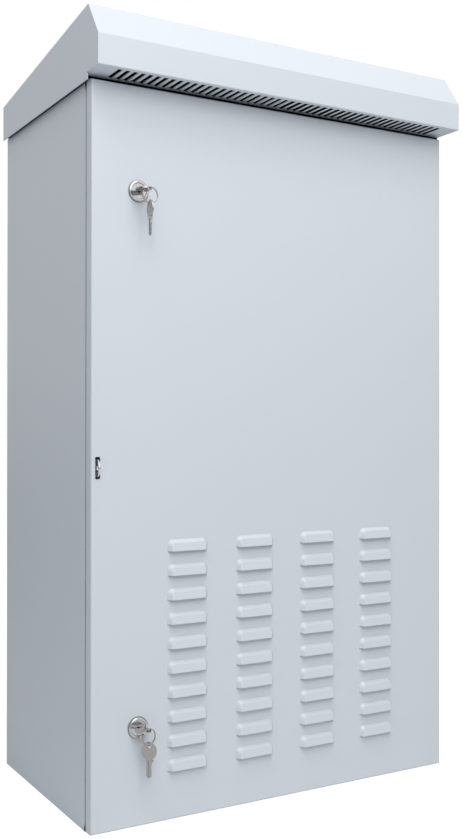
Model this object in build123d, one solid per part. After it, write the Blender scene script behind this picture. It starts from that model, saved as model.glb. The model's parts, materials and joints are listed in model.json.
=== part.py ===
"""Outdoor utility cabinet: folded sheet-steel body, louvered door and peaked rain roof.

Millimetres. X runs to the right as one faces the door, Y to the back and Z up. The origin is the
middle of the anchor holes, on the underside. The door hangs on three hidden hinges on its right.
"""

from build123d import *
import os

os.makedirs("parts", exist_ok=True)

# Body and sheet
body_width = 600.0
body_depth = 330.0
body_height = 1000.0
sheet = 1.5
bend_radius = 1.5
frame_width = 35.0
lip_depth = 10.0
pan_flange = 20.0
corner_relief = 4.0

# Roof
roof_side_overhang = 6.5
roof_reach = 37.0
roof_back_height = 49.0
roof_peak_height = 94.5
roof_fascia_top = 46.5
roof_skirt_drop = 4.0
soffit_rise = 5.5
ridge_forward = 4.0
roof_lip_setback = 13.0
gable_setback = 0.4
roof_front_return = 22.0
roof_side_return = 45.0
roof_back_return = 30.0
soffit_slot_count = 49
soffit_slot_width = 6.6
soffit_slot_side_margin = 32.0
soffit_slot_front_margin = 7.0
soffit_slot_back_margin = 3.0
roof_bolt_side_inset = 23.0
roof_bolt_front_inset = 45.0
roof_bolt_back_inset = 35.0
spacer_thickness = 2.0
spacer_radius = 10.0
bolt_radius = 4.0
bolt_clearance = 0.5
bolt_head_height = 5.3
bolt_across_flats = 13.0
bolt_length_above = 8.0
nut_height = 6.5
thread_clearance = 0.05

# Top pan vents
vent_columns = 16
vent_pitch = 18.0
vent_slot_width = 6.0
vent_slot_length = 60.0
vent_row_offset = 55.0

# Base pan
anchor_spacing_x = 500.0
anchor_spacing_y = 230.0
anchor_hole_radius = 6.0
cable_opening_width = 200.0
cable_opening_depth = 100.0
cable_opening_y = 30.0
cable_opening_corner = 10.0

# Door
door_depth = 17.0
door_gap = 3.0
door_floor_gap = 1.0
door_top_rise = 0.5
gasket_width = 12.0
gasket_clearance = 0.3
gasket_corner = 10.0

# Louvers
louver_columns = 4
louver_rows = 10
louver_left_margin = 112.5
louver_right_margin = 98.5
louver_column_gap = 46.6
louver_row_pitch = 33.4
louver_first_z = 68.2
louver_height = 16.0
louver_draw = 7.2
louver_slope = 2.6
louver_taper = 38.0
louver_end_radius = 9.0
louver_wall_inset = 0.5
louver_edge = 2.0

# Filter behind the louvers
filter_margin = 6.0
filter_thickness = 12.0
filter_sheet = 1.0
filter_flange = 14.0
filter_lip = 14.0
filter_gap = 0.2
filter_stud_radius = 2.0
filter_stud_length = 8.0
filter_nut_height = 3.2
filter_nut_across_flats = 7.0

# Locks
lock_from_left = 68.0
lock_from_bottom = 134.0
lock_from_top = 142.0
lock_flange_radius = 14.25
lock_flange_height = 3.4
lock_flange_round = 1.4
lock_barrel_radius = 9.4
lock_barrel_flat = 8.0
lock_barrel_length = 20.0
lock_hole_clearance = 0.15
plug_head_radius = 10.8
plug_head_recess = 0.9
plug_head_thickness = 1.5
plug_radius = 7.0
plug_clearance = 0.08
lock_nut_height = 5.0
lock_nut_across_flats = 24.0
cam_behind_flange = 0.5
cam_thickness = 2.5
cam_length = 45.0
cam_width = 14.0
cam_hub_radius = 9.0
cam_square = 8.0
cam_square_clearance = 0.05
cam_screw_radius = 2.0
cam_screw_depth = 4.0
cam_screw_head_radius = 5.0
cam_screw_head_height = 2.6
keyway_clearance = 0.2
keyway_relief_radius = 2.3
keyway_relief_depth = 3.0

# Keys and rings
key_thickness = 1.8
key_bow_half_width = 11.0
key_bow_half_length = 12.0
key_hole_radius = 3.1
key_hole_offset = 6.0
key_neck_length = 2.5
key_neck_width = 9.0
key_stop_width = 1.8
key_stop_length = 3.0
key_blade_width = 7.4
key_blade_length = 22.0
key_tip = 2.6
key_cut_count = 4
key_cut_pitch = 3.6
key_cut_depth = 1.4
key_groove_width = 1.6
key_groove_depth = 0.45
ring_radius = 10.9
ring_wire = 1.1
ring_turn = 0.9
ring_seam = 0.15
ring_reach = 6.8
ring_drop = 8.3
ring_yaw = {"lower": 15.0, "upper": 0.0}
spare_key_hang = 1.5
spare_key_twist = {"lower": 38.0, "upper": -5.0}

# Seal lug
seal_slot_from_left = 9.25
seal_slot_below_middle = 15.0
seal_slot_width = 7.0
seal_slot_height = 29.5
seal_slot_corner = 1.5
seal_lug_thickness = 2.0
seal_lug_offset = -0.5
seal_lug_height = 24.0
seal_lug_reach = 9.0
seal_lug_foot = 16.0
seal_eye_radius = 3.0
seal_eye_reach = 4.0

# Hinges
hinge_end_margin = 120.0
hinge_side_inset = 6.0
hinge_front_inset = 8.5
hinge_pin_radius = 2.5
hinge_pin_clearance = 0.05
hinge_knuckle_radius = 4.0
hinge_height = 50.0
hinge_middle_height = 20.0
hinge_knuckle_gap = 0.3
hinge_leaf_thickness = 2.0
hinge_arm_thickness = 2.5
hinge_arm_front = 4.0
hinge_arm_reach = 15.5
hinge_foot_width = 15.0
hinge_door_leaf_width = 24.0
hinge_web_width = 5.0
hinge_pin_head_radius = 3.5
hinge_pin_head_height = 2.0
hinge_screw_radius = 2.5
hinge_screw_spacing = 30.0
hinge_screw_inset = 5.0
hinge_screw_head_radius = 4.0
hinge_screw_head_height = 2.4
hinge_screw_length = 6.0

# Equipment plate
plate_thickness = 2.0
plate_side_margin = 50.0
plate_end_margin = 60.0
plate_stand_off = 25.0
plate_foot_width = 28.0
plate_stud_inset = 13.0
plate_stud_end_inset = 20.0
stud_radius = 4.0
stud_length = 14.0
stud_nut_height = 6.5
stud_nut_across_flats = 13.0

# Cable entry
gland_plate_overlap = 18.0
gland_plate_thickness = 2.0
gland_screw_radius = 2.5
gland_screw_inset = 8.0
gland_screw_head_radius = 4.5
gland_screw_head_height = 2.6
gland_screw_length = 4.0
grommet_count = 3
grommet_pitch = 60.0
grommet_bore_radius = 11.0
grommet_neck_radius = 16.0
grommet_flange_radius = 20.0
grommet_under = 1.2
grommet_height = 7.0

# Bonding points
earth_stud_radius = 4.0
earth_stud_length = 25.0
earth_stud_from_left = 100.0
earth_stud_from_front = 105.0
earth_head_height = 5.3
earth_head_across_flats = 13.0
door_stud_radius = 3.0
door_stud_length = 16.0
door_stud_from_right = 75.0
door_nut_height = 5.0
door_nut_across_flats = 10.0

# Planes and lines that the pieces share
half_width = body_width / 2
half_depth = body_depth / 2
frame_face = -half_depth
frame_inside = frame_face + sheet
lip_centre = half_width - frame_width - sheet / 2
door_back = frame_face - door_gap
door_front = door_back - door_depth
skin_back = door_front + sheet
door_bottom = door_floor_gap
door_top = body_height + door_top_rise
roof_base = body_height + spacer_thickness
roof_half_width = half_width + roof_side_overhang
roof_face = door_front - roof_reach
soffit_slot_span = 2 * (roof_half_width - soffit_slot_side_margin) - soffit_slot_width
soffit_slot_pitch = soffit_slot_span / (soffit_slot_count - 1)
louver_margins = louver_left_margin + louver_right_margin
louver_gaps = (louver_columns - 1) * louver_column_gap
louver_length = (body_width - louver_margins - louver_gaps) / louver_columns
louver_column_pitch = louver_length + louver_column_gap
louver_block_x = (louver_left_margin - louver_right_margin) / 2
lock_z = {"lower": lock_from_bottom, "upper": body_height - lock_from_top}
lock_x = -half_width + lock_from_left
lock_face = door_front - lock_flange_height
plug_face = lock_face + plug_head_recess
barrel_end = door_front + lock_barrel_length
cam_front = frame_inside + cam_behind_flange
bow_centre = plug_face - key_neck_length - key_bow_half_length
key_hole_y = bow_centre - key_hole_offset
seal_slot_z = body_height / 2 - seal_slot_below_middle
hinge_z = {
    "lower": hinge_end_margin,
    "middle": body_height / 2,
    "upper": body_height - hinge_end_margin,
}
hinge_x = half_width - hinge_side_inset
hinge_y = door_front + hinge_front_inset
back_inside = half_depth - sheet


def box(x_low, x_high, y_low, y_high, z_low, z_high):
    """Block between two corners."""
    centre = Pos((x_low + x_high) / 2, (y_low + y_high) / 2, (z_low + z_high) / 2)
    return centre * Box(x_high - x_low, y_high - y_low, z_high - z_low)


def rod_y(x, z, y_low, y_high, radius):
    """Round bar along Y."""
    return Pos(x, (y_low + y_high) / 2, z) * Rot(X=90) * Cylinder(radius, y_high - y_low)


def rod_z(x, y, z_low, z_high, radius):
    """Round bar along Z."""
    return Pos(x, y, (z_low + z_high) / 2) * Cylinder(radius, z_high - z_low)


def facing_front(x, y, z):
    """Upright sketch plane that looks towards the front, with its own Y up."""
    return Plane(origin=(x, y, z), x_dir=(1, 0, 0), z_dir=(0, -1, 0))


def hexagon(across_flats):
    """Nut or bolt-head outline."""
    return RegularPolygon(across_flats / 2, 6, major_radius=False)


def hex_z(x, y, z_low, z_high, across_flats):
    """Hexagon bar along Z."""
    return extrude(Pos(x, y, z_low) * hexagon(across_flats), z_high - z_low)


def hex_y(x, z, y_low, y_high, across_flats):
    """Hexagon bar along Y."""
    return extrude(facing_front(x, y_high, z) * hexagon(across_flats), y_high - y_low)


def folded(points, thickness=sheet):
    """Section of a folded sheet, from the points along the middle of its thickness."""
    return trace(FilletPolyline(*points, radius=bend_radius), thickness)


def save(name, *solids):
    """Write one sub-part."""
    flat = [solid for item in solids for solid in item.solids()]
    export_step(Compound(children=flat) if len(flat) > 1 else flat[0], f"parts/{name}.step")


def hinge_screw_places():
    """Heights of the hinge screws with the x they share."""
    x = hinge_x - hinge_arm_reach + hinge_arm_thickness - hinge_foot_width + hinge_screw_inset
    half = hinge_screw_spacing / 2
    return [(x, z + side * half) for z in hinge_z.values() for side in (-1, 1)]


def roof_bolt_places():
    """Where the roof is bolted to the top pan."""
    x = half_width - roof_bolt_side_inset
    front = frame_face + roof_bolt_front_inset
    back = half_depth - roof_bolt_back_inset
    return [(side * x, y) for side in (-1, 1) for y in (front, back)]


def make_body_wrap():
    """Back, sides and front flanges with their rain lips, folded from one sheet."""
    side = half_width - sheet / 2
    back = half_depth - sheet / 2
    tip = frame_face - lip_depth
    left = [(-lip_centre, tip), (-lip_centre, -back), (-side, -back), (-side, back)]
    right = [(-x, y) for x, y in reversed(left)]
    wrap = extrude(folded(left + right), body_height)
    opening = half_width - frame_width
    rail = frame_width + sheet
    for z_low, z_high in ((0, rail), (body_height - rail, body_height)):
        wrap -= box(-opening, opening, tip, frame_inside, z_low, z_high)
    for x, z in hinge_screw_places():
        radius = hinge_screw_radius + thread_clearance
        wrap -= rod_y(x, z, frame_face - sheet, frame_inside + sheet, radius)
    return wrap


def make_pan():
    """Bottom of the body: plate, welding flanges and the lower rail of the door frame."""
    plate = sheet / 2
    front = frame_face + sheet / 2
    back = back_inside - sheet / 2
    lip = frame_width + sheet / 2
    tip = frame_face - lip_depth
    points = [(tip, lip), (front, lip), (front, plate), (back, plate), (back, pan_flange)]
    inside = half_width - sheet
    pan = extrude(Plane.YZ * folded(points), inside, both=True)
    opening = half_width - frame_width
    for side in (-1, 1):
        near, far = sorted((side * opening, side * half_width))
        pan -= box(near, far, tip - sheet, frame_inside, 0, lip + sheet)
        inner, outer = sorted((side * (inside - sheet), side * inside))
        pan += box(inner, outer, frame_inside, back_inside, 0, pan_flange)
        for y in (frame_inside, back_inside):
            pan -= Pos(side * inside, y) * Box(corner_relief, corner_relief, 2 * frame_width)
    return pan


def make_base_pan():
    """Pan with anchor holes and the cable opening."""
    pan = make_pan()
    for x in (-anchor_spacing_x / 2, anchor_spacing_x / 2):
        for y in (-anchor_spacing_y / 2, anchor_spacing_y / 2):
            pan -= rod_z(x, y, -sheet, 2 * sheet, anchor_hole_radius)
    outline = RectangleRounded(cable_opening_width, cable_opening_depth, cable_opening_corner)
    pan -= extrude(Pos(0, cable_opening_y, -sheet) * outline, 3 * sheet)
    for x, y in gland_screw_places():
        pan -= rod_z(x, y, -sheet, 2 * sheet, gland_screw_radius + thread_clearance)
    return pan


def make_top_pan():
    """The same pan upside down, with vents up into the roof and holes for the roof bolts."""
    pan = Pos(0, 0, body_height) * mirror(make_pan(), Plane.XY)
    first = -(vent_columns - 1) / 2 * vent_pitch
    vent = Box(vent_slot_width, vent_slot_length, 4 * sheet)
    pan -= [
        Pos(first + column * vent_pitch, side * vent_row_offset, body_height) * vent
        for column in range(vent_columns)
        for side in (-1, 1)
    ]
    for x, y in roof_bolt_places():
        pan -= rod_z(x, y, body_height - 2 * sheet, body_height + sheet, bolt_radius + bolt_clearance)
    return pan


def make_roof_cover():
    """Peaked hood with a slotted soffit, gables that hang past the body and returned lower edges."""
    ridge = (door_front - ridge_forward, roof_base + roof_peak_height)
    soffit = roof_base + soffit_rise
    lip = door_front + roof_lip_setback
    section = Polyline(
        (lip, roof_base),
        (half_depth, roof_base),
        (half_depth, roof_base + roof_back_height),
        ridge,
        (roof_face, roof_base + roof_fascia_top),
        (roof_face, soffit),
        (lip, soffit),
        close=True,
    )
    outer = make_face(section)
    inner = offset(outer, -sheet, kind=Kind.INTERSECTION)
    folds = outer.vertices().filter_by(lambda corner: abs(corner.X - lip) > sheet)
    outer = fillet(folds, bend_radius)
    hood = extrude(Plane.YZ * outer, roof_half_width, both=True)
    side_inside = roof_half_width - sheet
    hood -= extrude(Plane.YZ * inner, side_inside, both=True)
    for side, front in ((-1, door_front + gable_setback), (1, lip)):
        near, far = sorted((side * side_inside, side * roof_half_width))
        hood += box(near, far, front, half_depth, roof_base - roof_skirt_drop, soffit)
    hood -= box(-side_inside, side_inside, lip - sheet, lip + 2 * sheet, roof_base + sheet, soffit)
    reach = roof_half_width - roof_side_return
    hood -= box(
        -reach,
        reach,
        lip + roof_front_return,
        half_depth - roof_back_return,
        roof_base - sheet,
        roof_base + 2 * sheet,
    )
    slot_front = roof_face + soffit_slot_front_margin
    slot_back = lip - soffit_slot_back_margin
    first = -(soffit_slot_count - 1) / 2 * soffit_slot_pitch
    slots = [
        box(
            first + index * soffit_slot_pitch - soffit_slot_width / 2,
            first + index * soffit_slot_pitch + soffit_slot_width / 2,
            slot_front,
            slot_back,
            soffit - sheet,
            soffit + 2 * sheet,
        )
        for index in range(soffit_slot_count)
    ]
    hood -= slots
    for x, y in roof_bolt_places():
        hood -= rod_z(x, y, roof_base - sheet, roof_base + 2 * sheet, bolt_radius + bolt_clearance)
    return hood


def make_roof_fixings():
    """Spacers, bolts and nuts between the top pan and the roof's returned edge."""
    spacers = []
    bolts = []
    nuts = []
    for x, y in roof_bolt_places():
        ring = rod_z(x, y, body_height, roof_base, spacer_radius)
        spacers.append(ring - rod_z(x, y, body_height, roof_base, bolt_radius + bolt_clearance))
        under = body_height - sheet
        bolt = hex_z(x, y, under - bolt_head_height, under, bolt_across_flats)
        bolts.append(bolt + rod_z(x, y, under, roof_base + sheet + bolt_length_above, bolt_radius))
        seat = roof_base + sheet
        nut = hex_z(x, y, seat, seat + nut_height, bolt_across_flats)
        nuts.append(nut - rod_z(x, y, seat, seat + nut_height, bolt_radius + thread_clearance))
    return spacers, bolts, nuts


def make_louver_form(inset):
    """Half of a tapered pad, open along its lower edge and flatter towards the top."""
    length = louver_length - 2 * inset
    height = louver_height - inset
    outline = RectangleRounded(length, 2 * height, louver_end_radius - inset)
    pad = extrude(Plane.XZ * outline, louver_draw, taper=louver_taper)
    pad &= box(-length, length, -2 * louver_draw, louver_draw, 0, 2 * height)
    leaning = Plane(origin=(0, -louver_draw, 0), x_dir=(1, 0, 0), z_dir=(0, -louver_height, louver_slope))
    return pad - extrude(leaning * Rectangle(2 * length, 4 * height), 2 * louver_draw)


def make_louver():
    """Outside of a louver, rounded round its face but not along the open lower edge."""
    pad = make_louver_form(0)
    face = pad.faces().sort_by(Axis.Y)[0]
    rim = face.edges().filter_by(lambda edge: edge.center().Z > louver_edge)
    return fillet(rim, louver_edge)


def louver_places():
    """Lower middle of each louver on the door."""
    first = louver_block_x - (louver_columns - 1) / 2 * louver_column_pitch
    return [
        (first + column * louver_column_pitch, louver_first_z + row * louver_row_pitch)
        for column in range(louver_columns)
        for row in range(louver_rows)
    ]


def lock_hole(x, z, y_low, y_high, clearance):
    """Round hole or barrel with two flats that keep the lock from turning."""
    flat = lock_barrel_flat + clearance
    reach = lock_barrel_radius + clearance
    bar = rod_y(x, z, y_low, y_high, reach)
    return bar & box(x - flat, x + flat, y_low, y_high, z - reach, z + reach)


def make_door_panel():
    """Door tray with pressed louvers, lock holes and the slot for the seal lug."""
    tray = box(-half_width, half_width, door_front, door_back, door_bottom, door_top)
    tray = fillet(tray.faces().sort_by(Axis.Y)[0].edges(), bend_radius + sheet / 2)
    inside = half_width - sheet
    tray -= box(-inside, inside, skin_back, door_back, door_bottom + sheet, door_top - sheet)
    outside_form = make_louver()
    inside_form = Pos(0, sheet, 0) * make_louver_form(louver_wall_inset)
    places = [Pos(x, door_front, z) for x, z in louver_places()]
    tray += [place * outside_form for place in places]
    tray -= [place * inside_form for place in places]
    for z in lock_z.values():
        tray -= lock_hole(lock_x, z, door_front - sheet, skin_back + sheet, lock_hole_clearance)
    slot = RectangleRounded(seal_slot_width, seal_slot_height, seal_slot_corner)
    slot_x = -half_width + seal_slot_from_left
    place = facing_front(slot_x, skin_back + sheet, seal_slot_z)
    tray -= extrude(place * slot, 3 * sheet)
    return tray


def make_door_gasket():
    """Foam loop on the door, opposite the rain lip of the frame."""
    back = frame_face - lip_depth - gasket_clearance
    centre_z = body_height / 2
    lip_height = body_height / 2 - frame_width - sheet / 2
    place = facing_front(0, back, centre_z)
    outer = RectangleRounded(2 * lip_centre + gasket_width, 2 * lip_height + gasket_width, gasket_corner)
    inner = Rectangle(2 * lip_centre - gasket_width, 2 * lip_height - gasket_width)
    return extrude(place * (outer - inner), back - skin_back)


def filter_window():
    """Inner edges of the filter frame: low x, high x, low z and high z."""
    half_block = (louver_columns - 1) / 2 * louver_column_pitch + louver_length / 2
    x_low = louver_block_x - half_block - filter_margin
    x_high = louver_block_x + half_block + filter_margin
    z_high = louver_first_z + (louver_rows - 1) * louver_row_pitch + louver_height
    return x_low, x_high, louver_first_z - filter_margin, z_high + filter_margin


def filter_stud_places():
    """Studs along the two upright flanges of the filter frame."""
    x_low, x_high, z_low, z_high = filter_window()
    out = filter_sheet + filter_flange / 2
    heights = (z_low, (z_low + z_high) / 2, z_high)
    return [(x, z) for x in (x_low - out, x_high + out) for z in heights]


def grown(window, amount, y_low, y_high):
    """Block over the window, larger by the amount all round."""
    x_low, x_high, z_low, z_high = window
    return box(x_low - amount, x_high + amount, y_low, y_high, z_low - amount, z_high + amount)


def make_filter():
    """Mat behind the louvers, its retaining frame, and the studs and nuts that hold it."""
    window = filter_window()
    back = skin_back + filter_thickness
    mat = grown(window, -filter_gap, skin_back, back)
    rim = grown(window, filter_sheet + filter_flange, skin_back, skin_back + filter_sheet)
    wall = grown(window, filter_sheet, skin_back, back + filter_sheet)
    frame = rim + wall - grown(window, 0, skin_back, back)
    frame -= grown(window, -filter_lip, back, back + filter_sheet)
    studs = []
    nuts = []
    seat = skin_back + filter_sheet
    for x, z in filter_stud_places():
        frame -= rod_y(x, z, skin_back, seat, filter_stud_radius + thread_clearance)
        studs.append(rod_y(x, z, skin_back, skin_back + filter_stud_length, filter_stud_radius))
        nut = hex_y(x, z, seat, seat + filter_nut_height, filter_nut_across_flats)
        bore = rod_y(x, z, seat, seat + filter_nut_height, filter_stud_radius + thread_clearance)
        nuts.append(nut - bore)
    return mat, frame, studs, nuts


def make_lock_housing(z):
    """Lock body: rounded flange on the door and a flatted barrel through it."""
    flange = rod_y(lock_x, z, lock_face, door_front, lock_flange_radius)
    rim = flange.faces().sort_by(Axis.Y)[0].edges()
    flange = fillet(rim, lock_flange_round)
    housing = flange + lock_hole(lock_x, z, door_front, barrel_end, 0)
    floor = plug_face + plug_head_thickness
    housing -= rod_y(lock_x, z, lock_face, floor, plug_head_radius + plug_clearance)
    housing -= rod_y(lock_x, z, floor, barrel_end, plug_radius + plug_clearance)
    return housing


def make_lock_nut(z):
    """Nut that clamps the lock to the door."""
    nut = hex_y(lock_x, z, skin_back, skin_back + lock_nut_height, lock_nut_across_flats)
    bore = lock_barrel_radius + thread_clearance
    return nut - rod_y(lock_x, z, skin_back, skin_back + lock_nut_height, bore)


def make_lock_plug(z):
    """Plug with a wide head, a level keyway and a square tail for the cam."""
    floor = plug_face + plug_head_thickness
    head = rod_y(lock_x, z, plug_face, floor - plug_clearance, plug_head_radius)
    plug = head + rod_y(lock_x, z, plug_face, cam_front, plug_radius)
    half = cam_square / 2
    tail_end = cam_front + cam_thickness
    plug += box(lock_x - half, lock_x + half, cam_front, tail_end, z - half, z + half)
    wide = key_blade_width / 2 + keyway_clearance
    thick = key_thickness / 2 + keyway_clearance
    deep = plug_face + key_blade_length + keyway_clearance
    plug -= box(lock_x - wide, lock_x + wide, plug_face, deep, z - thick, z + thick)
    relief = plug_face + keyway_relief_depth
    plug -= rod_y(lock_x, z, plug_face, relief, keyway_relief_radius)
    plug -= rod_y(lock_x, z, tail_end - cam_screw_depth, tail_end, cam_screw_radius + thread_clearance)
    return plug


def make_lock_cam(z):
    """Latch arm on the plug's tail, hanging down while the door is unlocked."""
    outline = Circle(cam_hub_radius)
    outline += Pos(0, -cam_length / 2 + cam_width / 4) * Rectangle(cam_width, cam_length - cam_width / 2)
    outline += Pos(0, -cam_length + cam_width / 2) * Circle(cam_width / 2)
    outline -= Rectangle(cam_square + 2 * cam_square_clearance, cam_square + 2 * cam_square_clearance)
    place = facing_front(lock_x, cam_front + cam_thickness, z)
    return extrude(place * outline, cam_thickness)


def make_cam_screw(z):
    """Screw that holds the cam on the plug."""
    seat = cam_front + cam_thickness
    head = rod_y(lock_x, z, seat, seat + cam_screw_head_height, cam_screw_head_radius)
    return head + rod_y(lock_x, z, seat - cam_screw_depth, seat, cam_screw_radius)


def make_key_blank():
    """Flat key in its own plane: bow hole at the origin, blade towards +Y."""
    bow_y = key_hole_offset
    shoulder = bow_y + key_bow_half_length + key_neck_length
    tip = shoulder + key_blade_length
    outline = Pos(0, bow_y) * Ellipse(key_bow_half_width, key_bow_half_length)
    neck_low = bow_y + key_bow_half_length / 2
    outline += Pos(0, (neck_low + shoulder) / 2) * Rectangle(key_neck_width, shoulder - neck_low)
    stop = Pos((key_neck_width + key_stop_width) / 2, shoulder - key_stop_length / 2)
    outline += stop * Rectangle(key_stop_width, key_stop_length)
    half = key_blade_width / 2
    blade = Polyline(
        (-half, shoulder),
        (half, shoulder),
        (half, tip - key_tip),
        (0, tip),
        (-half, tip - key_tip),
        close=True,
    )
    outline += make_face(blade)
    outline -= Circle(key_hole_radius)
    for index in range(key_cut_count):
        centre = tip - key_tip - (index + 0.5) * key_cut_pitch
        cut = Polyline(
            (half - key_cut_depth, centre),
            (half + key_cut_depth, centre - 2 * key_cut_depth),
            (half + key_cut_depth, centre + 2 * key_cut_depth),
            close=True,
        )
        outline -= make_face(cut)
    key = extrude(Pos(0, 0, -key_thickness / 2) * outline, key_thickness)
    for side in (-1, 1):
        depth = key_thickness / 2 - key_groove_depth / 2
        groove = Pos(0, (shoulder + tip) / 2, side * depth)
        length = key_blade_length + key_neck_length
        key -= groove * Box(key_groove_width, length, key_groove_depth)
    return key


def make_key(z):
    """Key in its lock, bow level and blade home."""
    return Pos(lock_x, key_hole_y, z) * make_key_blank()


def ring_place(name):
    """Centre and turn of a key ring that hangs over the right rim of the bow."""
    turn = Rot(Z=ring_yaw[name])
    return Pos(lock_x, key_hole_y, lock_z[name] - ring_drop) * turn * Pos(ring_reach)


def make_key_ring(name):
    """Split ring of two turns of wire, side by side."""
    section = Pos(ring_radius) * Rectangle(ring_wire, 2 * ring_turn)
    for edge in (-ring_wire / 2, ring_wire / 2):
        section -= Pos(ring_radius + edge) * Rectangle(2 * ring_seam, ring_seam)
    ring = revolve(section, Axis.Y)
    return ring_place(name) * ring


def make_spare_key(name):
    """Second key, hanging from the lowest point of the ring."""
    low_point = ring_place(name).position - Vector(0, 0, ring_radius + spare_key_hang)
    hang = Rot(Z=spare_key_twist[name] - 90) * Rot(X=-90)
    return Pos(*low_point) * hang * make_key_blank()


def make_seal_lug():
    """Lug with an eye for a seal or padlock, on a foot welded to the frame."""
    centre = -half_width + seal_slot_from_left + seal_lug_offset
    half = seal_lug_height / 2
    tip = door_front - seal_lug_reach
    shank = Polyline((door_front, -half), (frame_face, -half), (frame_face, half), (door_front, half))
    nose = ThreePointArc((door_front, half), (tip, 0), (door_front, -half))
    outline = make_face(shank + nose)
    outline -= Pos(door_front - seal_eye_reach, 0) * Circle(seal_eye_radius)
    low = centre - seal_lug_thickness / 2
    place = Plane(origin=(low, 0, seal_slot_z), x_dir=(0, 1, 0), z_dir=(1, 0, 0))
    lug = extrude(place * outline, seal_lug_thickness)
    foot_front = frame_face - seal_lug_thickness
    return lug + box(
        low, low + seal_lug_foot, foot_front, frame_face, seal_slot_z - half, seal_slot_z + half
    )


def make_knuckle(z_low, z_high):
    """Outside of a hinge knuckle."""
    return rod_z(hinge_x, hinge_y, z_low, z_high, hinge_knuckle_radius)


def hinge_bore(z):
    """What the pin needs through the knuckles."""
    half = hinge_height / 2
    radius = hinge_pin_radius + hinge_pin_clearance
    return rod_z(hinge_x, hinge_y, z - half, z + half, radius)


def make_hinge_frame_leaf(z):
    """Middle knuckle with an arm that reaches round the door's returned edge to the frame."""
    half = hinge_middle_height / 2
    arm_front = hinge_y - hinge_arm_front
    arm_left = hinge_x - hinge_arm_reach
    arm_right = arm_left + hinge_arm_thickness
    leaf = make_knuckle(z - half, z + half)
    leaf += box(arm_left, hinge_x, arm_front, arm_front + hinge_arm_thickness, z - half, z + half)
    leaf += box(arm_left, arm_right, arm_front, frame_face, z - half, z + half)
    foot_low = arm_right - hinge_foot_width
    foot_front = frame_face - hinge_leaf_thickness
    high = hinge_height / 2
    leaf += box(foot_low, arm_right, foot_front, frame_face, z - high, z + high)
    for x, screw_z in hinge_screw_places():
        if abs(screw_z - z) < high:
            leaf -= rod_y(x, screw_z, foot_front, frame_face, hinge_screw_radius + thread_clearance)
    return leaf - hinge_bore(z)


def make_hinge_door_leaf(z):
    """Upper and lower knuckles on a leaf welded inside the door."""
    half = hinge_height / 2
    inner = hinge_middle_height / 2 + hinge_knuckle_gap
    right = hinge_x + hinge_web_width / 2
    leaf_back = skin_back + hinge_leaf_thickness
    leaf = box(right - hinge_door_leaf_width, right, skin_back, leaf_back, z - half, z + half)
    for low, high in ((z - half, z - inner), (z + inner, z + half)):
        leaf += make_knuckle(low, high)
        leaf += box(right - hinge_web_width, right, skin_back, hinge_y, low, high)
    return leaf - hinge_bore(z)


def make_hinge_pin(z):
    """Pin with a flat head on the top knuckle."""
    half = hinge_height / 2
    shank = rod_z(hinge_x, hinge_y, z - half, z + half, hinge_pin_radius)
    top = z + half + hinge_knuckle_gap
    head = rod_z(hinge_x, hinge_y, z + half, top, hinge_pin_radius)
    return shank + head + rod_z(
        hinge_x, hinge_y, top, top + hinge_pin_head_height, hinge_pin_head_radius
    )


def make_hinge_screws():
    """Screws that hold the hinge feet to the frame."""
    seat = frame_face - hinge_leaf_thickness
    screws = []
    for x, z in hinge_screw_places():
        head = rod_y(x, z, seat - hinge_screw_head_height, seat, hinge_screw_head_radius)
        screws.append(head + rod_y(x, z, seat, seat + hinge_screw_length, hinge_screw_radius))
    return screws


def plate_stud_places():
    """Studs of the back wall, near the corners of the equipment plate."""
    x = half_width - plate_side_margin - plate_stud_inset
    low = plate_end_margin + plate_stud_end_inset
    return [(side * x, z) for side in (-1, 1) for z in (low, body_height - low)]


def make_mounting_plate():
    """Equipment plate folded into a shallow hat, with its feet nutted to studs on the back wall."""
    foot = half_width - plate_side_margin
    web = foot - plate_foot_width
    seat = back_inside - plate_thickness
    wall = back_inside - plate_thickness / 2
    face = wall - plate_stand_off
    right = [(web, face), (web, wall), (foot, wall)]
    left = [(-x, y) for x, y in reversed(right)]
    low = plate_end_margin
    section = folded(left + right, plate_thickness)
    plate = extrude(Pos(0, 0, low) * section, body_height - 2 * low)
    studs = []
    nuts = []
    for x, z in plate_stud_places():
        plate -= rod_y(x, z, seat, back_inside, stud_radius + bolt_clearance)
        studs.append(rod_y(x, z, back_inside - stud_length, back_inside, stud_radius))
        nut = hex_y(x, z, seat - stud_nut_height, seat, stud_nut_across_flats)
        bore = rod_y(x, z, seat - stud_nut_height, seat, stud_radius + thread_clearance)
        nuts.append(nut - bore)
    return plate, studs, nuts


def gland_screw_places():
    """Corners of the gland plate, inset from its edges."""
    x = cable_opening_width / 2 + gland_plate_overlap - gland_screw_inset
    y = cable_opening_depth / 2 + gland_plate_overlap - gland_screw_inset
    return [(a * x, cable_opening_y + b * y) for a in (-1, 1) for b in (-1, 1)]


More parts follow.
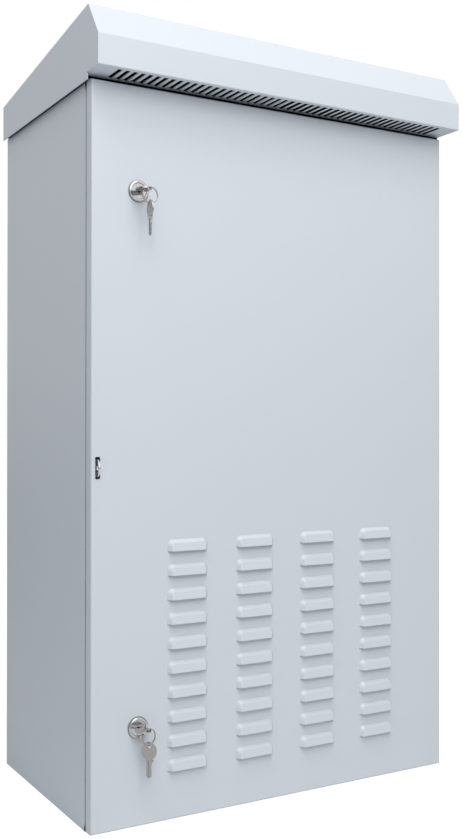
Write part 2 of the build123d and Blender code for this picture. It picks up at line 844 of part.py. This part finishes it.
def make_cable_entry():
    """Gland plate over the opening in the base, its screws and the rubber grommets."""
    top = sheet + gland_plate_thickness
    outline = Rectangle(
        cable_opening_width + 2 * gland_plate_overlap, cable_opening_depth + 2 * gland_plate_overlap
    )
    plate = extrude(Pos(0, cable_opening_y, sheet) * outline, gland_plate_thickness)
    screws = []
    for x, y in gland_screw_places():
        plate -= rod_z(x, y, sheet, top, gland_screw_radius + thread_clearance)
        head = rod_z(x, y, top, top + gland_screw_head_height, gland_screw_head_radius)
        screws.append(head + rod_z(x, y, top - gland_screw_length, top, gland_screw_radius))
    grommets = []
    for index in range(grommet_count):
        x = (index - (grommet_count - 1) / 2) * grommet_pitch
        plate -= rod_z(x, cable_opening_y, sheet, top, grommet_neck_radius)
        ring = rod_z(x, cable_opening_y, sheet - grommet_under, sheet, grommet_flange_radius)
        ring += rod_z(x, cable_opening_y, sheet, top, grommet_neck_radius)
        place = Pos(x, cable_opening_y, top + grommet_height / 2)
        ring += place * Cone(grommet_flange_radius, grommet_neck_radius, grommet_height)
        bore = rod_z(x, cable_opening_y, sheet - grommet_under, top + grommet_height, grommet_bore_radius)
        grommets.append(ring - bore)
    return plate, screws, grommets


def make_earth_points():
    """Bonding bolt, welded head down to the base, and bonding stud on the door with its nut."""
    x = -half_width + earth_stud_from_left
    y = frame_face + earth_stud_from_front
    head_top = sheet + earth_head_height
    stud = hex_z(x, y, sheet, head_top, earth_head_across_flats)
    stud += rod_z(x, y, head_top, head_top + earth_stud_length, earth_stud_radius)
    x = half_width - door_stud_from_right
    z = body_height / 2
    door_stud = rod_y(x, z, skin_back, skin_back + door_stud_length, door_stud_radius)
    nut_back = skin_back + door_nut_height
    door_nut = hex_y(x, z, skin_back, nut_back, door_nut_across_flats)
    door_nut -= rod_y(x, z, skin_back, nut_back, door_stud_radius + thread_clearance)
    return stud, door_stud, door_nut


save("body_wrap", make_body_wrap())
save("base_pan", make_base_pan())
save("top_pan", make_top_pan())
save("roof_cover", make_roof_cover())
roof_spacers, roof_bolts, roof_nuts = make_roof_fixings()
save("roof_spacers", *roof_spacers)
save("roof_bolts", *roof_bolts)
save("roof_nuts", *roof_nuts)

save("door_panel", make_door_panel())
save("door_gasket", make_door_gasket())
filter_mat, filter_frame, filter_studs, filter_nuts = make_filter()
save("filter_mat", filter_mat)
save("filter_frame", filter_frame)
save("filter_studs", *filter_studs)
save("filter_nuts", *filter_nuts)

for name, height in lock_z.items():
    save(f"lock_housing_{name}", make_lock_housing(height))
    save(f"lock_nut_{name}", make_lock_nut(height))
    save(f"lock_plug_{name}", make_lock_plug(height))
    save(f"lock_cam_{name}", make_lock_cam(height))
    save(f"cam_screw_{name}", make_cam_screw(height))
    save(f"key_{name}", make_key(height))
    save(f"key_ring_{name}", make_key_ring(name))
    save(f"spare_key_{name}", make_spare_key(name))
save("seal_lug", make_seal_lug())

for name, height in hinge_z.items():
    save(f"hinge_frame_leaf_{name}", make_hinge_frame_leaf(height))
    save(f"hinge_door_leaf_{name}", make_hinge_door_leaf(height))
    save(f"hinge_pin_{name}", make_hinge_pin(height))
save("hinge_screws", *make_hinge_screws())

mounting_plate, mounting_studs, mounting_nuts = make_mounting_plate()
save("mounting_plate", mounting_plate)
save("mounting_studs", *mounting_studs)
save("mounting_nuts", *mounting_nuts)
gland_plate, gland_screws, cable_grommets = make_cable_entry()
save("gland_plate", gland_plate)
save("gland_screws", *gland_screws)
save("cable_grommets", *cable_grommets)
earth_stud, door_earth_stud, door_earth_nut = make_earth_points()
save("earth_stud_body", earth_stud)
save("earth_stud_door", door_earth_stud)
save("earth_nut_door", door_earth_nut)
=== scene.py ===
"""Looks of the outdoor utility cabinet: coat, plating, foam, fleece, lamps and camera."""

import json
import math

import bmesh
import bpy
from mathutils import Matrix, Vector


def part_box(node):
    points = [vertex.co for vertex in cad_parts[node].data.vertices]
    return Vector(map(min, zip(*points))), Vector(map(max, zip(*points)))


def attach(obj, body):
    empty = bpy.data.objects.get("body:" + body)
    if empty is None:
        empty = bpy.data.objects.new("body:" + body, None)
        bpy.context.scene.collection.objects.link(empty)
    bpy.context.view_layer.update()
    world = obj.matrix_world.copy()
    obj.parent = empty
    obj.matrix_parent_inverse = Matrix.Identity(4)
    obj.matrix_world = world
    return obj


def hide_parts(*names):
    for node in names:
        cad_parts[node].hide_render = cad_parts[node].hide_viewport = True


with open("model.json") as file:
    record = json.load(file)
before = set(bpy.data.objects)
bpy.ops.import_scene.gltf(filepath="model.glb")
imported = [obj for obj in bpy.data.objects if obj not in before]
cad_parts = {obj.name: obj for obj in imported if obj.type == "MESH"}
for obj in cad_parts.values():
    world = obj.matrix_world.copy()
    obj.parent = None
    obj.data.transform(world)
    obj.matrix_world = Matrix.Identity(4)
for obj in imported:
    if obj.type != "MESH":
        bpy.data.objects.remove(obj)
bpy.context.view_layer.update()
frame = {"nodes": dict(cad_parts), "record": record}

# Camera, from the edges of the cabinet in the photograph
IMAGE_HEIGHT = 839
SENSOR = 36.0
FOCAL_PIXELS = 1055.8
CAMERA_PLACE = (-0.8387, -1.4816, 0.5419)
CAMERA_YAW = 0.5259
CAMERA_PITCH = 0.0054
CAMERA_ROLL = -0.0006
CAMERA_FAR = 200.0

# World and the two softboxes
WORLD_STRENGTH = 0.30
WORLD_COLOUR = (0.89, 0.945, 1.0, 1.0)
KEY_PLACE = (-0.66, -2.6, 2.45)
KEY_AIM = (0.0, -0.1, 0.75)
KEY_SIZE = (2.2, 1.8)
KEY_POWER = 50.0
TOP_PLACE = (-0.5, -1.3, 3.4)
TOP_AIM = (0.0, -0.2, 0.6)
TOP_SIZE = (2.4, 1.2)
TOP_POWER = 41.0
LAMP_COLOUR = (1.0, 0.992, 0.978)

# White floor
FLOOR_REACH = 40.0
FLOOR_GLOW = 0.79

# Centre and size of black cards that only gloss sees: left, right and low behind the camera
CARDS = (
    ((-2.4, -0.9, 1.0), (0.0, 2.2, 2.0)),
    ((2.4, -1.3, 1.0), (0.0, 2.4, 2.0)),
    ((0.0, -4.6, 0.3), (5.0, 0.0, 1.0)),
)

# Powder coat, with painted shade in its gaps, but none along the foot
COAT_TONES = ((0.646, 0.688, 0.742), (0.670, 0.712, 0.766))
COAT_SPECK = (0.60, 0.64, 0.70)
COAT_IOR = 1.48
COAT_EDGE = 0.0009
GAP_REACH = 0.005
GAP_SHADE_COLOUR = (0.05, 0.053, 0.06)
FOOT_HEIGHT = 0.008

# Painted shade in the gap at the body's front folds, as far back as this behind the door's rear
# edge
FOLD_DEPTH = 0.0058
FOLD_WIDTH = 0.004
FOLD_REAR_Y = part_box("door_panel")[1].y + FOLD_DEPTH
FOLD_INNER_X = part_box("body_wrap")[1].x - FOLD_WIDTH
FOLD_RADIUS = 0.007
FOLD_REACH = 0.012

# Painted shade inside the roof, which rests on its spacers: near-black on its inner faces and under
# its returned edges
ROOF_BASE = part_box("roof_spacers")[1].z
ROOF_CORE = (0.0, 0.0, ROOF_BASE + 0.028)
EDGE_BAND = 0.001
INNER_SHADE_COLOUR = (0.022, 0.022, 0.024)

# Plated metal: share of the colour that is left on dull patches, and in crevices as painted shade
WORN_SHARE = 0.86
CREVICE_SHADE_SHARE = 0.10
CREVICE_REACH = 0.0015

# Foam loop on the door, with half of its section as shares of half its width and its height
LOOP_HALF_WIDTH = 0.006
LOOP_CORNER = 0.004
LOOP_STEPS = 6
LOOP_CROWN = [(-1.0, 0.0), (-0.98, 0.55), (-0.82, 0.86), (-0.5, 0.985), (-0.18, 1.0), (0.0, 0.96)]

# Fleece mat behind the louvers: grid, cells of soft edge, loft at the edge and added inside it
MAT_COLUMNS = 100
MAT_ROWS = 80
MAT_EDGE_CELLS = 3
MAT_EDGE_LOFT = 0.35
MAT_INNER_LOFT = 0.60
MAT_WAVE = 0.04


def nodes_of(material):
    """Empty node tree with a Principled shader wired to the output."""
    material.use_nodes = True
    tree = material.node_tree
    tree.nodes.clear()
    output = tree.nodes.new("ShaderNodeOutputMaterial")
    shader = tree.nodes.new("ShaderNodeBsdfPrincipled")
    tree.links.new(shader.outputs["BSDF"], output.inputs["Surface"])
    return tree, shader


def value_of(tree, source, low, high):
    """Remap a 0 to 1 signal to a range."""
    node = tree.nodes.new("ShaderNodeMapRange")
    node.inputs["To Min"].default_value = low
    node.inputs["To Max"].default_value = high
    tree.links.new(source, node.inputs["Value"])
    return node.outputs["Result"]


def place_of(tree, stretch=(1, 1, 1)):
    """Object coordinates, which are metres in the cabinet's frame."""
    coordinates = tree.nodes.new("ShaderNodeTexCoord")
    mapping = tree.nodes.new("ShaderNodeMapping")
    mapping.inputs["Scale"].default_value = stretch
    tree.links.new(coordinates.outputs["Object"], mapping.inputs["Vector"])
    return mapping.outputs["Vector"]


def noise_of(tree, place, scale, detail=2.0, roughness=0.5):
    """Cloud of the given number of lumps per metre."""
    node = tree.nodes.new("ShaderNodeTexNoise")
    node.inputs["Scale"].default_value = scale
    node.inputs["Detail"].default_value = detail
    node.inputs["Roughness"].default_value = roughness
    tree.links.new(place, node.inputs["Vector"])
    return node.outputs["Fac"]


def mix_of(tree, factor, first, second, kind="RGBA"):
    """Colour between two colours or sockets, or vector between two sockets."""
    node = tree.nodes.new("ShaderNodeMix")
    node.data_type = kind
    for name, value in (("A", first), ("B", second)):
        socket = [s for s in node.inputs if s.name == name and s.type == kind][0]
        if isinstance(value, tuple):
            socket.default_value = (*value, 1.0)
        else:
            tree.links.new(value, socket)
    tree.links.new(factor, node.inputs[0])
    return [s for s in node.outputs if s.type == kind][0]


def bump_of(tree, height, distance, strength=1.0, normal=None):
    """Bump of a height signal, in metres."""
    node = tree.nodes.new("ShaderNodeBump")
    node.inputs["Strength"].default_value = strength
    node.inputs["Distance"].default_value = distance
    tree.links.new(height, node.inputs["Height"])
    if normal is not None:
        tree.links.new(normal, node.inputs["Normal"])
    return node.outputs["Normal"]


def rounded(tree, radius):
    """Normals that look rounded over this radius at the edges."""
    node = tree.nodes.new("ShaderNodeBevel")
    node.samples = 6
    node.inputs["Radius"].default_value = radius
    return node.outputs["Normal"]


def math_of(tree, operation, first, second):
    """Math node on two sockets, or on a socket and a number."""
    node = tree.nodes.new("ShaderNodeMath")
    node.operation = operation
    for socket, value in zip(node.inputs, (first, second)):
        if isinstance(value, float):
            socket.default_value = value
        else:
            tree.links.new(value, socket)
    return node.outputs["Value"]


def inner_shade_of(tree):
    """1 on the roof's inner faces and under its returned edges, where shade is painted; 0 on what
    shows from outside.
    """
    place = place_of(tree)
    faces = tree.nodes.new("ShaderNodeNewGeometry")
    offset = tree.nodes.new("ShaderNodeVectorMath")
    offset.operation = "SUBTRACT"
    offset.inputs[1].default_value = ROOF_CORE
    along = tree.nodes.new("ShaderNodeVectorMath")
    along.operation = "DOT_PRODUCT"
    tree.links.new(place, offset.inputs[0])
    tree.links.new(faces.outputs["True Normal"], along.inputs[0])
    tree.links.new(offset.outputs["Vector"], along.inputs[1])
    inward = math_of(tree, "LESS_THAN", along.outputs["Value"], 0.0)
    position = tree.nodes.new("ShaderNodeSeparateXYZ")
    tree.links.new(place, position.inputs["Vector"])
    normal = tree.nodes.new("ShaderNodeSeparateXYZ")
    tree.links.new(faces.outputs["True Normal"], normal.inputs["Vector"])
    down = math_of(tree, "LESS_THAN", normal.outputs["Z"], -0.5)
    above = math_of(tree, "GREATER_THAN", position.outputs["Z"], ROOF_BASE - EDGE_BAND)
    below = math_of(tree, "LESS_THAN", position.outputs["Z"], ROOF_BASE + EDGE_BAND)
    under = math_of(tree, "MULTIPLY", down, math_of(tree, "MULTIPLY", above, below))
    return math_of(tree, "MAXIMUM", inward, under)


def gap_shade_of(tree, reach, light=0.76, dark=0.58, foot=FOOT_HEIGHT):
    """1 in gaps and creases narrower than the reach in metres, where shade is painted; 0 on open
    faces and the foot.
    """
    near = tree.nodes.new("ShaderNodeAmbientOcclusion")
    near.samples = 8
    near.inputs["Distance"].default_value = reach
    node = tree.nodes.new("ShaderNodeMapRange")
    node.inputs["From Min"].default_value = light
    node.inputs["From Max"].default_value = dark
    tree.links.new(near.outputs["AO"], node.inputs["Value"])
    position = tree.nodes.new("ShaderNodeSeparateXYZ")
    tree.links.new(place_of(tree), position.inputs["Vector"])
    raised = math_of(tree, "GREATER_THAN", position.outputs["Z"], foot)
    return math_of(tree, "MULTIPLY", node.outputs["Result"], raised)


def front_fold_of(tree):
    """1 on the upright folds at the body's two front edges, where shade is painted, otherwise 0."""
    position = tree.nodes.new("ShaderNodeSeparateXYZ")
    tree.links.new(place_of(tree), position.inputs["Vector"])
    across = math_of(tree, "MULTIPLY", position.outputs["X"], position.outputs["X"])
    outermost = math_of(tree, "GREATER_THAN", across, FOLD_INNER_X ** 2)
    foremost = math_of(tree, "LESS_THAN", position.outputs["Y"], FOLD_REAR_Y)
    return math_of(tree, "MULTIPLY", outermost, foremost)


def make_paint(name="powder_coat", shaded_inside=False, shaded_folds=False):
    """Light grey powder coat with faint orange peel and painted shade in its gaps; painted shade
    inside the roof and at the body's front folds when asked.
    """
    material = bpy.data.materials.new(name)
    tree, shader = nodes_of(material)
    place = place_of(tree)
    tone = noise_of(tree, place, scale=3.0, detail=3.0)
    grit = noise_of(tree, place, scale=900.0)
    clean = mix_of(tree, tone, *COAT_TONES)
    colour = mix_of(tree, value_of(tree, grit, 0.0, 0.35), clean, COAT_SPECK)
    # Painted shade: the colour goes near-black in gaps and creases
    colour = mix_of(tree, gap_shade_of(tree, GAP_REACH), colour, GAP_SHADE_COLOUR)
    edges = rounded(tree, COAT_EDGE)
    # Painted shade: the roof's inside and the undersides of its returned edges are coloured
    # near-black
    if shaded_inside:
        colour = mix_of(tree, inner_shade_of(tree), colour, INNER_SHADE_COLOUR)
    # Painted shade in the narrow gap between the body's front folds and the door, with rounder
    # normals on the folds
    if shaded_folds:
        fold = front_fold_of(tree)
        gaps = gap_shade_of(tree, FOLD_REACH, light=0.93, dark=0.78, foot=0.0)
        shade = math_of(tree, "MULTIPLY", fold, gaps)
        colour = mix_of(tree, shade, colour, GAP_SHADE_COLOUR)
        edges = mix_of(tree, fold, edges, rounded(tree, FOLD_RADIUS), "VECTOR")
    tree.links.new(colour, shader.inputs["Base Color"])
    tree.links.new(value_of(tree, tone, 0.40, 0.48), shader.inputs["Roughness"])
    shader.inputs["IOR"].default_value = COAT_IOR
    peel = noise_of(tree, place, scale=420.0, detail=3.0, roughness=0.6)
    normal = bump_of(tree, peel, distance=0.00002, strength=0.6, normal=edges)
    tree.links.new(normal, shader.inputs["Normal"])
    return material


def make_metal(name, colour, roughness, grain=0.0, edge=0.00025):
    """Plated metal with a faint brushed grain, patches of duller plate and painted shade in
    crevices.
    """
    material = bpy.data.materials.new(name)
    tree, shader = nodes_of(material)
    shader.inputs["Metallic"].default_value = 1.0
    patches = noise_of(tree, place_of(tree), scale=260.0, detail=3.0)
    worn = tuple(channel * WORN_SHARE for channel in colour)
    crevice_shade = tuple(channel * CREVICE_SHADE_SHARE for channel in colour)
    plate = mix_of(tree, patches, worn, colour)
    # Painted shade: the plate goes darker in crevices
    plate = mix_of(tree, gap_shade_of(tree, CREVICE_REACH), plate, crevice_shade)
    tree.links.new(plate, shader.inputs["Base Color"])
    tree.links.new(
        value_of(tree, patches, roughness + 0.04, roughness), shader.inputs["Roughness"]
    )
    edges = rounded(tree, edge)
    if grain:
        lines = noise_of(tree, place_of(tree, (60.0, 1500.0, 4000.0)), scale=1.0)
        edges = bump_of(tree, lines, distance=grain, strength=0.5, normal=edges)
    tree.links.new(edges, shader.inputs["Normal"])
    return material


def make_galvanised():
    """Galvanised sheet with flat grey crystals."""
    material = bpy.data.materials.new("galvanised_sheet")
    tree, shader = nodes_of(material)
    shader.inputs["Metallic"].default_value = 1.0
    crystals = tree.nodes.new("ShaderNodeTexVoronoi")
    crystals.inputs["Scale"].default_value = 95.0
    tree.links.new(place_of(tree), crystals.inputs["Vector"])
    shade = tree.nodes.new("ShaderNodeSeparateColor")
    tree.links.new(crystals.outputs["Color"], shade.inputs["Color"])
    colour = mix_of(tree, shade.outputs[0], (0.46, 0.48, 0.50), (0.62, 0.64, 0.66))
    tree.links.new(colour, shader.inputs["Base Color"])
    tree.links.new(value_of(tree, shade.outputs[1], 0.34, 0.52), shader.inputs["Roughness"])
    return material


def make_foam():
    """Black closed-cell sealing foam."""
    material = bpy.data.materials.new("sealing_foam")
    tree, shader = nodes_of(material)
    place = place_of(tree)
    cells = tree.nodes.new("ShaderNodeTexVoronoi")
    cells.inputs["Scale"].default_value = 1400.0
    tree.links.new(place, cells.inputs["Vector"])
    tone = noise_of(tree, place, scale=60.0)
    colour = mix_of(tree, tone, (0.020, 0.020, 0.021), (0.038, 0.038, 0.040))
    tree.links.new(colour, shader.inputs["Base Color"])
    shader.inputs["Roughness"].default_value = 0.78
    normal = bump_of(tree, cells.outputs["Distance"], distance=0.00025, strength=0.8)
    tree.links.new(normal, shader.inputs["Normal"])
    return material


def make_rubber():
    """Smooth black moulded rubber."""
    material = bpy.data.materials.new("moulded_rubber")
    tree, shader = nodes_of(material)
    place = place_of(tree)
    tone = noise_of(tree, place, scale=180.0, detail=3.0)
    colour = mix_of(tree, tone, (0.016, 0.016, 0.017), (0.030, 0.030, 0.031))
    tree.links.new(colour, shader.inputs["Base Color"])
    tree.links.new(value_of(tree, tone, 0.42, 0.60), shader.inputs["Roughness"])
    pores = noise_of(tree, place, scale=1500.0)
    edges = rounded(tree, radius=0.0006)
    normal = bump_of(tree, pores, distance=0.00004, strength=0.5, normal=edges)
    tree.links.new(normal, shader.inputs["Normal"])
    return material


def make_fleece():
    """Off-white needled filter fleece: tangled fibres in two directions."""
    material = bpy.data.materials.new("filter_fleece")
    tree, shader = nodes_of(material)
    fibres = [
        noise_of(tree, place_of(tree, stretch), scale=1.0, detail=4.0, roughness=0.7)
        for stretch in ((260.0, 1.0, 2600.0), (2400.0, 1.0, 300.0))
    ]
    height = math_of(tree, "MAXIMUM", *fibres)
    colour = mix_of(tree, height, (0.52, 0.52, 0.49), (0.80, 0.80, 0.77))
    tree.links.new(colour, shader.inputs["Base Color"])
    shader.inputs["Roughness"].default_value = 0.95
    shader.inputs["Sheen Weight"].default_value = 0.25
    normal = bump_of(tree, height, distance=0.0006, strength=0.8)
    tree.links.new(normal, shader.inputs["Normal"])
    return material


def repaint(node, material):
    """Give one node of the frame its finish."""
    mesh = frame["nodes"][node].data
    mesh.materials.clear()
    mesh.materials.append(material)


def paint_nodes(materials):
    """Give every node of the frame its finish, by its slot in the record."""
    for part in frame["record"]["subparts"]:
        repaint(part["node"], materials[part["material_slot"]])


def new_piece(name, mesh, material):
    """Smooth object in the row frame with one material."""
    mesh.materials.append(material)
    for face in mesh.polygons:
        face.use_smooth = True
    piece = bpy.data.objects.new(name, mesh)
    bpy.context.scene.collection.objects.link(piece)
    return piece


def rounded_rectangle(low, high, inset, radius, steps):
    """Points round a rectangle in X and Z, and the outward direction at each."""
    points = []
    centres = [
        (high.x - inset - radius, high.z - inset - radius, 0),
        (low.x + inset + radius, high.z - inset - radius, 90),
        (low.x + inset + radius, low.z + inset + radius, 180),
        (high.x - inset - radius, low.z + inset + radius, 270),
    ]
    for x, z, start in centres:
        for step in range(steps + 1):
            angle = math.radians(start + 90 * step / steps)
            out = Vector((math.cos(angle), 0, math.sin(angle)))
            points.append((Vector((x, 0, z)) + radius * out, out))
    return points


def make_gasket(material):
    """Foam loop: flat where it is glued to the door, crowned and slightly dented where it seals."""
    low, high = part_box("door_gasket")
    depth = high.y - low.y
    section = LOOP_CROWN + [(-side, rise) for side, rise in reversed(LOOP_CROWN[:-1])]
    path = rounded_rectangle(low, high, LOOP_HALF_WIDTH, LOOP_CORNER, LOOP_STEPS)
    mesh = bpy.data.meshes.new("gasket_foam_loop")
    shape = bmesh.new()
    rings = []
    for point, out in path:
        ring = []
        for side, rise in section:
            place = point + LOOP_HALF_WIDTH * side * out
            ring.append(shape.verts.new((place.x, low.y + depth * rise, place.z)))
        rings.append(ring)
    for index, ring in enumerate(rings):
        following = rings[(index + 1) % len(rings)]
        for corner in range(len(section)):
            after = (corner + 1) % len(section)
            shape.faces.new((ring[corner], ring[after], following[after], following[corner]))
    bmesh.ops.recalc_face_normals(shape, faces=shape.faces)
    shape.to_mesh(mesh)
    shape.free()
    piece = new_piece("gasket_foam_loop", mesh, material)
    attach(piece, "door")
    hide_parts("door_gasket")


def make_filter_mat(material):
    """Needled mat with soft edges and a slightly uneven loft."""
    low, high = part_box("filter_mat")
    mesh = bpy.data.meshes.new("filter_fleece_mat")
    shape = bmesh.new()
    columns, rows = MAT_COLUMNS, MAT_ROWS
    middle = (low.y + high.y) / 2
    half = (high.y - low.y) / 2
    grid = {}
    for side in (-1, 1):
        for column in range(columns + 1):
            for row in range(rows + 1):
                u = column / columns
                v = row / rows
                edge = min(u, 1 - u, (1 - v), v) * columns
                crown = math.sqrt(max(0.0, 1 - (1 - min(edge / MAT_EDGE_CELLS, 1)) ** 2))
                wave = math.sin(31 * u + 7 * v) * math.sin(23 * v - 5 * u)
                uneven = 1 + MAT_WAVE * wave * (side < 0) - MAT_WAVE / 2
                loft = half * (MAT_EDGE_LOFT + MAT_INNER_LOFT * crown) * uneven
                x = low.x + (high.x - low.x) * u
                z = low.z + (high.z - low.z) * v
                grid[side, column, row] = shape.verts.new((x, middle + side * loft, z))
    for side in (-1, 1):
        for column in range(columns):
            for row in range(rows):
                corners = [
                    grid[side, column, row],
                    grid[side, column + 1, row],
                    grid[side, column + 1, row + 1],
                    grid[side, column, row + 1],
                ]
                shape.faces.new(corners)
    border = [(column, 0) for column in range(columns)]
    border += [(columns, row) for row in range(rows)]
    border += [(columns - column, rows) for column in range(columns)]
    border += [(0, rows - row) for row in range(rows)]
    for index, here in enumerate(border):
        there = border[(index + 1) % len(border)]
        shape.faces.new((grid[-1, *here], grid[-1, *there], grid[1, *there], grid[1, *here]))
    bmesh.ops.recalc_face_normals(shape, faces=shape.faces)
    shape.to_mesh(mesh)
    shape.free()
    piece = new_piece("filter_fleece_mat", mesh, material)
    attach(piece, "door")
    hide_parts("filter_mat")


def make_floor():
    """Plain white floor that keeps the cabinet's shadow and meets the white background."""
    mesh = bpy.data.meshes.new("studio_floor")
    signs = ((-1, -1), (1, -1), (1, 1), (-1, 1))
    corners = [(FLOOR_REACH * x, FLOOR_REACH * y, 0) for x, y in signs]
    mesh.from_pydata(corners, [], [(0, 1, 2, 3)])
    material = bpy.data.materials.new("studio_floor")
    material.use_nodes = True
    tree = material.node_tree
    tree.nodes.clear()
    output = tree.nodes.new("ShaderNodeOutputMaterial")
    matt = tree.nodes.new("ShaderNodeBsdfDiffuse")
    glow = tree.nodes.new("ShaderNodeEmission")
    both = tree.nodes.new("ShaderNodeAddShader")
    rays = tree.nodes.new("ShaderNodeLightPath")
    grain = noise_of(tree, place_of(tree), scale=40.0, detail=4.0)
    white = mix_of(tree, grain, (0.80, 0.80, 0.80), (0.84, 0.84, 0.84))
    strength = math_of(tree, "MULTIPLY", rays.outputs["Is Camera Ray"], FLOOR_GLOW)
    tree.links.new(white, matt.inputs["Color"])
    tree.links.new(strength, glow.inputs["Strength"])
    tree.links.new(matt.outputs["BSDF"], both.inputs[0])
    tree.links.new(glow.outputs["Emission"], both.inputs[1])
    tree.links.new(both.outputs["Shader"], output.inputs["Surface"])
    mesh.materials.append(material)
    floor = bpy.data.objects.new("studio_floor", mesh)
    bpy.context.scene.collection.objects.link(floor)


def make_world():
    """Even light, and a white surround for the camera, for gloss and through glass."""
    world = bpy.data.worlds.new("studio")
    bpy.context.scene.world = world
    world.use_nodes = True
    tree = world.node_tree
    tree.nodes.clear()
    output = tree.nodes.new("ShaderNodeOutputWorld")
    even = tree.nodes.new("ShaderNodeBackground")
    white = tree.nodes.new("ShaderNodeBackground")
    mix = tree.nodes.new("ShaderNodeMixShader")
    rays = tree.nodes.new("ShaderNodeLightPath")
    even.inputs["Strength"].default_value = WORLD_STRENGTH
    white.inputs["Strength"].default_value = 1.0
    even.inputs["Color"].default_value = WORLD_COLOUR
    white.inputs["Color"].default_value = (1.0, 1.0, 1.0, 1.0)
    seen = math_of(tree, "MAXIMUM", rays.outputs["Is Camera Ray"], rays.outputs["Is Glossy Ray"])
    seen = math_of(tree, "MAXIMUM", seen, rays.outputs["Is Transmission Ray"])
    tree.links.new(seen, mix.inputs["Fac"])
    tree.links.new(even.outputs["Background"], mix.inputs[1])
    tree.links.new(white.outputs["Background"], mix.inputs[2])
    tree.links.new(mix.outputs["Shader"], output.inputs["Surface"])


def make_softbox(name, place, target, size, power):
    """Large soft lamp at a place, turned towards a target."""
    lamp = bpy.data.lights.new(name, "AREA")
    lamp.shape = "RECTANGLE"
    lamp.size, lamp.size_y = size
    lamp.energy = power
    lamp.color = LAMP_COLOUR
    box = bpy.data.objects.new(name, lamp)
    box.location = place
    aim = Vector(target) - Vector(place)
    box.rotation_euler = aim.to_track_quat("-Z", "Y").to_euler()
    bpy.context.scene.collection.objects.link(box)


def make_cards():
    """Black studio cards that give polished metal something dark to mirror."""
    material = bpy.data.materials.new("black_card")
    tree, shader = nodes_of(material)
    tone = noise_of(tree, place_of(tree), scale=8.0)
    colour = mix_of(tree, tone, (0.02, 0.02, 0.022), (0.03, 0.03, 0.032))
    tree.links.new(colour, shader.inputs["Base Color"])
    shader.inputs["Roughness"].default_value = 0.9
    for index, (centre, size) in enumerate(CARDS):
        mesh = bpy.data.meshes.new(f"black_card_{index}")
        half = Vector(size) / 2
        wide = Vector((half.x, half.y, 0))
        high = Vector((0, 0, half.z))
        corners = [-wide - high, wide - high, wide + high, high - wide]
        mesh.from_pydata([Vector(centre) + corner for corner in corners], [], [(0, 1, 2, 3)])
        mesh.materials.append(material)
        card = bpy.data.objects.new(mesh.name, mesh)
        card.visible_camera = False
        card.visible_diffuse = False
        card.visible_transmission = False
        card.visible_shadow = False
        bpy.context.scene.collection.objects.link(card)


def make_camera():
    """Camera at the photograph's place and angle."""
    lens = bpy.data.cameras.new("photo_camera")
    lens.sensor_fit = "AUTO"
    lens.sensor_width = SENSOR
    lens.lens = FOCAL_PIXELS / IMAGE_HEIGHT * SENSOR
    lens.clip_end = CAMERA_FAR
    camera = bpy.data.objects.new("photo_camera", lens)
    camera.location = CAMERA_PLACE
    camera.rotation_mode = "XYZ"
    camera.rotation_euler = (math.pi / 2 + CAMERA_PITCH, CAMERA_ROLL, -CAMERA_YAW)
    bpy.context.scene.collection.objects.link(camera)
    bpy.context.scene.camera = camera


make_camera()
make_world()
make_softbox("key_softbox", KEY_PLACE, KEY_AIM, KEY_SIZE, KEY_POWER)
make_softbox("top_softbox", TOP_PLACE, TOP_AIM, TOP_SIZE, TOP_POWER)
make_floor()
make_cards()

foam = make_foam()
fleece = make_fleece()
paint_nodes(
    {
        "grey_coat": make_paint(),
        "lock_chrome": make_metal("bright_chrome", (0.64, 0.64, 0.655), 0.07, edge=0.0008),
        "lug_chrome": make_metal("bright_lug", (0.84, 0.84, 0.85), 0.12, edge=0.0006),
        "key_nickel": make_metal(
            "key_nickel", (0.51, 0.495, 0.48), 0.22, grain=0.00003, edge=0.0004
        ),
        "zinc_steel": make_metal("zinc_plate", (0.60, 0.61, 0.63), 0.34),
        "fastener_steel": make_metal("fastener_plate", (0.52, 0.53, 0.54), 0.36),
        "galvanised_sheet": make_galvanised(),
        "gasket_foam": foam,
        "black_rubber": make_rubber(),
        "filter_fleece": fleece,
    }
)
repaint("roof_cover", make_paint("powder_coat_roof", shaded_inside=True))
repaint("body_wrap", make_paint("powder_coat_body", shaded_folds=True))
make_gasket(foam)
make_filter_mat(fleece)

bpy.context.scene.view_settings.view_transform = "Standard"
